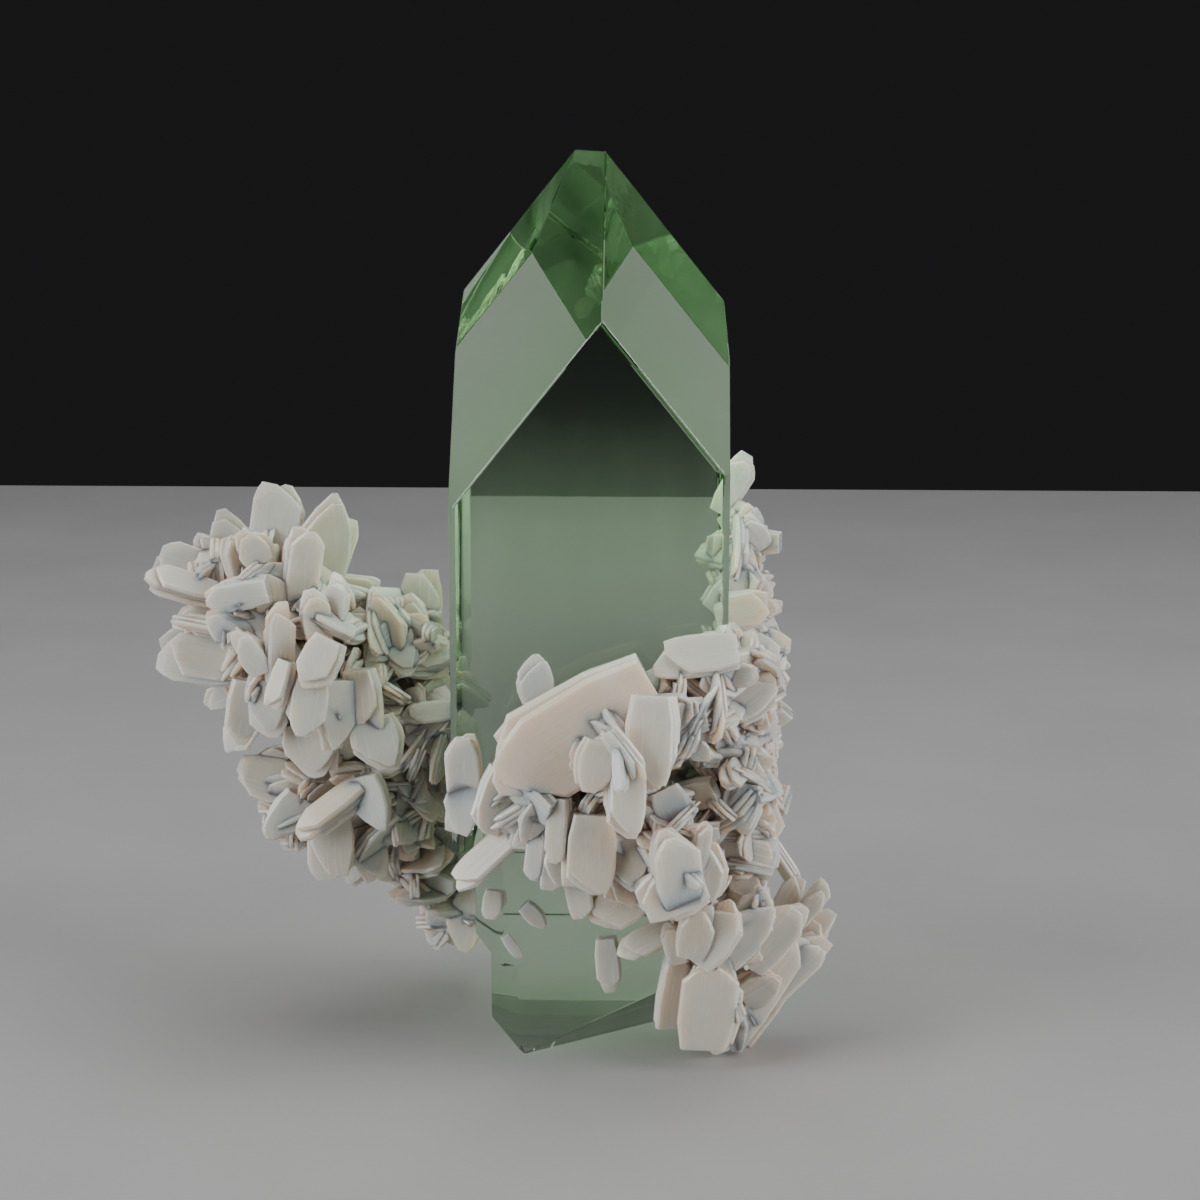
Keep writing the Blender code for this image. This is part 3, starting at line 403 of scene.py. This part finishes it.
def plate_mesh(name, plates, rng):
    """Thin plates with chamfered edges and a slanting two-faced tip.

    Each plate is an eight-sided outline, a chamfered rectangle, carried from root to tip. Its half
    width starts at 0.8 of full, is full along the middle and falls to the blunt end over the tip.
    Its thickness thins towards the end, so the end is a narrow slanting face. A plate that would
    reach past the solids' box is slid back into it as a whole, by as much as it stands out.
    """
    count = len(plates.width)
    axis = unit(plates.tip - plates.root)
    flat = unit(plates.facing - (plates.facing * axis).sum(-1, keepdims=True) * axis)
    broad = np.cross(flat, axis)
    length = np.linalg.norm(plates.tip - plates.root, axis=1)
    rise = np.minimum(rng.uniform(0.35, 0.75, count) * plates.width, 0.5 * length) / length
    blunt = rng.uniform(0.1, 0.45, count)
    skew = rng.uniform(-0.25, 0.25, count)
    zero, one = np.zeros(count), np.ones(count)
    along = np.stack((zero, 0.3 * one, 1 - rise, 1 - 0.45 * rise, one), axis=1)
    half = np.stack((0.8 * one, one, one, 0.55 + 0.45 * blunt, blunt), axis=1) / 2
    middle = np.stack((zero, zero, zero, 0.5 * skew, skew), axis=1)
    thin = np.stack((0.9 * one, one, one, 0.9 * one, 0.5 * one), axis=1) / 2
    chamfer = 0.3
    width = plates.width[:, None, None]
    thick = plates.thick[:, None, None]
    edge = thick * thin[..., None] * chamfer * 2
    y_side = np.array((-1, 1, 1, 1, 1, -1, -1, -1))
    x_in = np.array((0, 0, 1, 1, 0, 0, 1, 1))
    x_side = np.array((1, 1, 1, -1, -1, -1, -1, 1))
    y_in = np.array((1, 1, 0, 0, 1, 1, 0, 0))
    across = middle[..., None] * width + x_side * (half[..., None] * width - x_in * edge)
    deep = y_side * (thin[..., None] * thick - y_in * edge)
    spots = (
        plates.root[:, None, None, :]
        + axis[:, None, None, :] * (along * length[:, None])[..., None, None]
        + broad[:, None, None, :] * across[..., None]
        + flat[:, None, None, :] * deep[..., None]
    )
    lowest, highest = np.array(solid_box[0]) + BOX_MARGIN, np.array(solid_box[1]) - BOX_MARGIN
    too_low = np.maximum(lowest - spots.min(axis=(1, 2)), 0)
    too_high = np.maximum(spots.max(axis=(1, 2)) - highest, 0)
    spots = spots + (too_low - too_high)[:, None, None, :]
    stations, corners = along.shape[1], 8
    first = (np.arange(count) * stations * corners)[:, None, None]
    step = (np.arange(stations - 1) * corners)[None, :, None]
    corner = np.arange(corners)[None, None, :]
    beside = (corner + 1) % corners
    quads = np.stack(
        np.broadcast_arrays(
            first + step + corner,
            first + step + beside,
            first + step + corners + beside,
            first + step + corners + corner,
        ),
        axis=-1,
    ).reshape(-1, 4)
    start = np.arange(count)[:, None] * stations * corners
    foot = start + np.arange(corners)[::-1]
    head = start + (stations - 1) * corners + np.arange(corners)
    mesh = bpy.data.meshes.new(name)
    mesh.from_pydata(spots.reshape(-1, 3), [], quads.tolist() + foot.tolist() + head.tolist())
    tone = np.repeat(rng.random(count), stations * corners)
    mesh.attributes.new("tone", "FLOAT", "POINT").data.foreach_set("value", tone.astype(np.float32))
    where = np.empty(len(mesh.loops), np.int32)
    mesh.loops.foreach_get("vertex_index", where)
    shift = rng.uniform(0, 50, (count, 1, 1))
    u = (across / MM + deep / MM + shift).reshape(-1)
    v = (np.broadcast_to((along * length[:, None] / MM)[..., None], across.shape) + shift).reshape(-1)
    layer = mesh.uv_layers.new(name="plate")
    layer.data.foreach_set("uv", np.stack((u, v), axis=1)[where].astype(np.float32).reshape(-1))
    kinds = np.concatenate(
        (np.repeat(plates.kind, (stations - 1) * corners), plates.kind, plates.kind)
    )
    mesh.polygons.foreach_set("material_index", kinds.astype(np.int32))
    mesh.update()
    return mesh


def node(tree, kind, values=None, **settings):
    """A shader node with its settings, and its inputs set to values or linked to other outputs."""
    made = tree.nodes.new(kind)
    for name, value in settings.items():
        setattr(made, name, value)
    for name, value in (values or {}).items():
        if isinstance(value, bpy.types.NodeSocket):
            tree.links.new(value, made.inputs[name])
        else:
            made.inputs[name].default_value = value
    return made


def ramp(tree, factor, stops, interpolation="LINEAR"):
    """A colour ramp through (place, colour) stops; a bare number is a grey."""
    made = tree.nodes.new("ShaderNodeValToRGB")
    made.color_ramp.interpolation = interpolation
    elements = made.color_ramp.elements
    while len(elements) < len(stops):
        elements.new(0.5)
    for element, (place, colour) in zip(elements, stops):
        element.position = place
        element.color = (*colour, 1.0) if isinstance(colour, tuple) else (colour, colour, colour, 1.0)
    tree.links.new(factor, made.inputs["Fac"])
    return made.outputs["Color"]


def new_group(name, inputs, outputs):
    """An empty shader node group with its named sockets, its input node and its output node."""
    tree = bpy.data.node_groups.new(name, "ShaderNodeTree")
    for label, kind, value in inputs:
        socket = tree.interface.new_socket(label, in_out="INPUT", socket_type="NodeSocket" + kind)
        if value is not None:
            socket.default_value = value
    for label, kind in outputs:
        tree.interface.new_socket(label, in_out="OUTPUT", socket_type="NodeSocket" + kind)
    return tree, tree.nodes.new("NodeGroupInput").outputs, tree.nodes.new("NodeGroupOutput").inputs


def growth_lines_group():
    """Fine ridges along a crystal plate, as its faces show: a height and a mask of bright streaks."""
    tree, given, result = new_group(
        "growth_lines",
        [("Lines per mm", "Float", 3.0), ("Seed", "Float", 0.0)],
        [("Height", "Float"), ("Streaks", "Float")],
    )
    place = node(tree, "ShaderNodeUVMap", uv_map="plate")
    parts = node(tree, "ShaderNodeSeparateXYZ", {"Vector": place.outputs["UV"]})
    across = node(
        tree, "ShaderNodeMath", {0: parts.outputs["X"], 1: given["Lines per mm"]}, operation="MULTIPLY"
    )
    along = node(tree, "ShaderNodeMath", {0: parts.outputs["Y"], 1: 0.16}, operation="MULTIPLY")
    spot = node(
        tree,
        "ShaderNodeCombineXYZ",
        {"X": across.outputs["Value"], "Y": along.outputs["Value"], "Z": given["Seed"]},
    )
    lines = node(
        tree,
        "ShaderNodeTexNoise",
        {"Vector": spot.outputs["Vector"], "Scale": 1.0, "Detail": 3.0, "Roughness": 0.6},
    )
    tree.links.new(lines.outputs["Fac"], result["Height"])
    streaks = ramp(tree, lines.outputs["Fac"], [(0.52, 0.0), (0.68, 1.0)])
    tree.links.new(streaks, result["Streaks"])
    return tree


def new_material(name):
    """A material with an empty node tree and its output node."""
    material = bpy.data.materials.new(name)
    material.use_nodes = True
    material.node_tree.nodes.clear()
    return material, material.node_tree, material.node_tree.nodes.new("ShaderNodeOutputMaterial")


def let_lamps_through(tree, shader, tint, output):
    """Crystal that lamps shine through: a shadow ray passes it as clear film of that tint."""
    clear = node(tree, "ShaderNodeBsdfTransparent", {"Color": (*tint, 1.0)})
    path = node(tree, "ShaderNodeLightPath")
    mixed = node(tree, "ShaderNodeMixShader", {0: path.outputs["Is Shadow Ray"]})
    tree.links.new(shader, mixed.inputs[1])
    tree.links.new(clear.outputs["BSDF"], mixed.inputs[2])
    tree.links.new(mixed.outputs["Shader"], output.inputs["Surface"])


def apophyllite_material():
    """Clear green crystal: smooth, with fine growth lines."""
    material, tree, output = new_material("apophyllite_green")
    place = node(tree, "ShaderNodeTexCoord").outputs["Object"]
    stretched = node(tree, "ShaderNodeMapping", {"Vector": place, "Scale": (900, 900, 60)})
    lines = node(
        tree, "ShaderNodeTexNoise", {"Vector": stretched.outputs["Vector"], "Scale": 1.0, "Detail": 2.0}
    )
    bump = node(
        tree, "ShaderNodeBump", {"Height": lines.outputs["Fac"], "Strength": 0.02, "Distance": 0.0002}
    )
    shader = node(
        tree,
        "ShaderNodeBsdfPrincipled",
        {
            "Base Color": (0.97, 1.0, 0.96, 1.0),
            "Roughness": 0.015,
            "IOR": 1.536,
            "Transmission Weight": 1.0,
            "Normal": bump.outputs["Normal"],
        },
    )
    let_lamps_through(tree, shader.outputs["BSDF"], (0.96, 0.99, 0.95), output)
    tint = node(tree, "ShaderNodeVolumeAbsorption", {"Color": (0.22, 0.72, 0.16, 1.0), "Density": 24.0})
    tree.links.new(tint.outputs["Volume"], output.inputs["Volume"])
    return material


def stilbite_material(name, lines_group, cream, peach, clearness, roughness):
    """Translucent stilbite: cream to peach from plate to plate, with growth lines along each plate."""
    material, tree, output = new_material(name)
    place = node(tree, "ShaderNodeTexCoord").outputs["Object"]
    tone = node(tree, "ShaderNodeAttribute", attribute_name="tone").outputs["Fac"]
    clouds = node(tree, "ShaderNodeTexNoise", {"Vector": place, "Scale": 260.0, "Detail": 2.0})
    blend = node(tree, "ShaderNodeMath", {0: tone, 1: clouds.outputs["Fac"]}, operation="MULTIPLY_ADD")
    blend.inputs[2].default_value = 0.1
    colour = ramp(tree, blend.outputs["Value"], [(0.1, cream), (0.8, peach)])
    lines = node(tree, "ShaderNodeGroup", node_tree=lines_group)
    bump = node(
        tree,
        "ShaderNodeBump",
        {"Height": lines.outputs["Height"], "Strength": 0.25, "Distance": 0.0001},
    )
    rough = node(
        tree,
        "ShaderNodeMapRange",
        {"Value": lines.outputs["Streaks"], "To Min": roughness, "To Max": roughness + 0.12},
    )
    shader = node(
        tree,
        "ShaderNodeBsdfPrincipled",
        {
            "Base Color": colour,
            "Roughness": rough.outputs["Result"],
            "IOR": 1.5,
            "Subsurface Weight": 0.85,
            "Subsurface Radius": (1.0, 0.62, 0.45),
            "Subsurface Scale": 0.0022,
            "Transmission Weight": clearness,
            "Normal": bump.outputs["Normal"],
        },
    )
    if clearness >= 0.5:
        let_lamps_through(tree, shader.outputs["BSDF"], (0.97, 0.95, 0.93), output)
    else:
        tree.links.new(shader.outputs["BSDF"], output.inputs["Surface"])
    return material


def tower_piece(material):
    """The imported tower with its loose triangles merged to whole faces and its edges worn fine."""
    bm = bmesh.new()
    bm.from_mesh(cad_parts["apophyllite_crystal"].data)
    bmesh.ops.remove_doubles(bm, verts=bm.verts, dist=1e-6)
    bmesh.ops.dissolve_limit(bm, angle_limit=math.radians(0.5), verts=bm.verts, edges=bm.edges)
    mesh = bpy.data.meshes.new("apophyllite_tower")
    bm.to_mesh(mesh)
    bm.free()
    tower = placed("apophyllite_tower", mesh, [material])
    bevel = tower.modifiers.new("worn_edges", "BEVEL")
    bevel.width = 0.12 * MM
    bevel.segments = 2
    bevel.limit_method = "ANGLE"
    bevel.angle_limit = math.radians(8)
    return tower


def milky_heart(name):
    """The cloudy inside of the tower, as a rounded block that keeps clear of its faces.

    Its outline is a square with rounded corners, carried up the axis, and it narrows at the top.
    """
    level = np.array((1.0, 8.0, 9.5, 19.5, 21.0, 44.0, 52.0, 56.0))
    half = np.array((8.0, 8.6, 9.0, 9.2, 11.0, 11.0, 10.6, 9.0))
    sides = 32
    around = np.arange(sides) * (2 * math.pi / sides) + math.pi / sides
    power = 8
    reach = (np.abs(np.cos(around)) ** power + np.abs(np.sin(around)) ** power) ** (-1 / power)
    x = half[:, None] * reach * np.cos(around)
    y = half[:, None] * reach * np.sin(around)
    z = np.broadcast_to(level[:, None], x.shape)
    spots = np.stack((x, y, z), axis=-1).reshape(-1, 3) * MM
    step = np.arange(len(level) - 1)[:, None] * sides
    corner = np.arange(sides)[None, :]
    beside = (corner + 1) % sides
    quads = np.stack(
        (step + corner, step + beside, step + sides + beside, step + sides + corner), axis=-1
    ).reshape(-1, 4)
    foot = np.arange(sides)[::-1][None, :]
    head = np.arange(sides)[None, :] + (len(level) - 1) * sides
    mesh = bpy.data.meshes.new(name)
    mesh.from_pydata(spots, [], quads.tolist() + foot.tolist() + head.tolist())
    material, tree, output = new_material("milky_cloud")
    place = node(tree, "ShaderNodeTexCoord").outputs["Object"]
    parts = node(tree, "ShaderNodeSeparateXYZ", {"Vector": place})
    stretched = node(tree, "ShaderNodeMapping", {"Vector": place, "Scale": (260, 260, 90)})
    wisps = node(
        tree, "ShaderNodeTexNoise", {"Vector": stretched.outputs["Vector"], "Scale": 1.0, "Detail": 4.0}
    )
    rise = node(
        tree,
        "ShaderNodeMath",
        {0: wisps.outputs["Fac"], 1: 0.012, 2: parts.outputs["Z"]},
        operation="MULTIPLY_ADD",
    )
    decimetres = node(tree, "ShaderNodeMath", {0: rise.outputs["Value"], 1: 10.0}, operation="MULTIPLY")
    dense = ramp(
        tree,
        decimetres.outputs["Value"],
        [(0.05, 0.25), (0.2, 0.25), (0.36, 1.0), (0.44, 0.9), (0.54, 0.12), (0.62, 0.0)],
    )
    amount = node(tree, "ShaderNodeMath", {0: dense, 1: MOST_CLOUD}, operation="MULTIPLY")
    haze = node(
        tree,
        "ShaderNodeVolumeScatter",
        {"Color": (0.86, 0.98, 0.84, 1.0), "Density": amount.outputs["Value"], "Anisotropy": 0.2},
    )
    tree.links.new(haze.outputs["Volume"], output.inputs["Volume"])
    return placed(name, mesh, [material])


def placed(name, mesh, materials):
    """A piece of the specimen that rides on it."""
    mesh.materials.clear()
    for material in materials:
        mesh.materials.append(material)
    piece = bpy.data.objects.new(name, mesh)
    bpy.context.scene.collection.objects.link(piece)
    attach(piece, "root")
    return piece


def cluster_piece(name, rows, lumps, materials, rng):
    """A cluster: the crystals read one by one, and round each lump those that fill it."""
    crystals = shown_crystals(rows)
    for lump in lumps:
        crystals = crystals.plus(lump_crystals(lump, rng))
    mesh = plate_mesh(name, stacked(crystals, rng), rng)
    return placed(name, mesh, materials)


def area_light(name, place, aim, size, power):
    """A soft rectangular studio light that points at the aim."""
    lamp = bpy.data.lights.new(name, "AREA")
    lamp.shape = "RECTANGLE"
    lamp.size, lamp.size_y = size
    lamp.energy = power
    obj = bpy.data.objects.new(name, lamp)
    obj.location = place
    obj.rotation_euler = (Vector(aim) - Vector(place)).to_track_quat("-Z", "Y").to_euler()
    bpy.context.scene.collection.objects.link(obj)


def camera_and_stage():
    """The camera at the front view, the pale table top, the dark room and the soft lights."""
    scene = bpy.context.scene
    camera = bpy.data.cameras.new("front_view")
    camera.lens = VIEW_LENS
    camera.sensor_width = 36
    camera.clip_start = 0.01
    eye = bpy.data.objects.new("front_view", camera)
    aim = Vector(VIEW_AIM) * MM
    eye.location = aim + Vector(TO_VIEWER) * VIEW_DISTANCE * MM
    eye.rotation_euler = (aim - eye.location).to_track_quat("-Z", "Y").to_euler()
    scene.collection.objects.link(eye)
    scene.camera = eye

    material, tree, output = new_material("pale_table")
    place = node(tree, "ShaderNodeTexCoord").outputs["Object"]
    grain = node(tree, "ShaderNodeTexNoise", {"Vector": place, "Scale": 40.0, "Detail": 4.0})
    shader = node(
        tree,
        "ShaderNodeBsdfPrincipled",
        {"Base Color": ramp(tree, grain.outputs["Fac"], [(0.3, 0.34), (0.7, 0.37)]), "Roughness": 0.6},
    )
    tree.links.new(shader.outputs["BSDF"], output.inputs["Surface"])
    mesh = bpy.data.meshes.new("table_top")
    near = [(-TABLE_SIDE, TABLE_NEAR, 0.0), (TABLE_SIDE, TABLE_NEAR, 0.0)]
    far = [(TABLE_SIDE, TABLE_FAR, 0.0), (-TABLE_SIDE, TABLE_FAR, 0.0)]
    mesh.from_pydata(near + far, [], [(0, 1, 2, 3)])
    mesh.materials.append(material)
    table = bpy.data.objects.new("table_top", mesh)
    scene.collection.objects.link(table)

    world = bpy.data.worlds.new("dark_room")
    world.use_nodes = True
    world.node_tree.nodes["Background"].inputs["Color"].default_value = (0.012, 0.012, 0.013, 1.0)
    world.node_tree.nodes["Background"].inputs["Strength"].default_value = 1.0
    scene.world = world

    for name, place, size, power in LIGHTS:
        area_light(name, place, LIGHTS_AIM, size, power)


def main():
    """Every piece of the specimen in its place, then the table, the lights and the camera."""
    rng = np.random.default_rng(7)
    lines = growth_lines_group()
    pearl = stilbite_material("stilbite_pearl", lines, (0.93, 0.80, 0.70), (0.90, 0.64, 0.50), 0.1, 0.22)
    clear = stilbite_material("stilbite_clear", lines, (0.97, 0.95, 0.93), (0.96, 0.9, 0.86), 0.85, 0.10)
    stilbite = [pearl, clear]
    tower = tower_piece(apophyllite_material())
    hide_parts("apophyllite_crystal")
    heart = milky_heart("apophyllite_milky_heart")
    left = cluster_piece("stilbite_left_blades", LEFT_SHOWN, LEFT_LUMPS, stilbite, rng)
    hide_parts("stilbite_left_cluster")
    right = cluster_piece("stilbite_right_blades", RIGHT_SHOWN + SHEAF_SHOWN, RIGHT_LUMPS, stilbite, rng)
    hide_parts("stilbite_right_cluster")
    for name, row in LOOSE_CRYSTALS.items():
        mesh = plate_mesh(name + "_crystal", stacked(shown_crystals([row]), rng), rng)
        loose = placed(name + "_crystal", mesh, stilbite)
        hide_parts(name)
    camera_and_stage()


main()
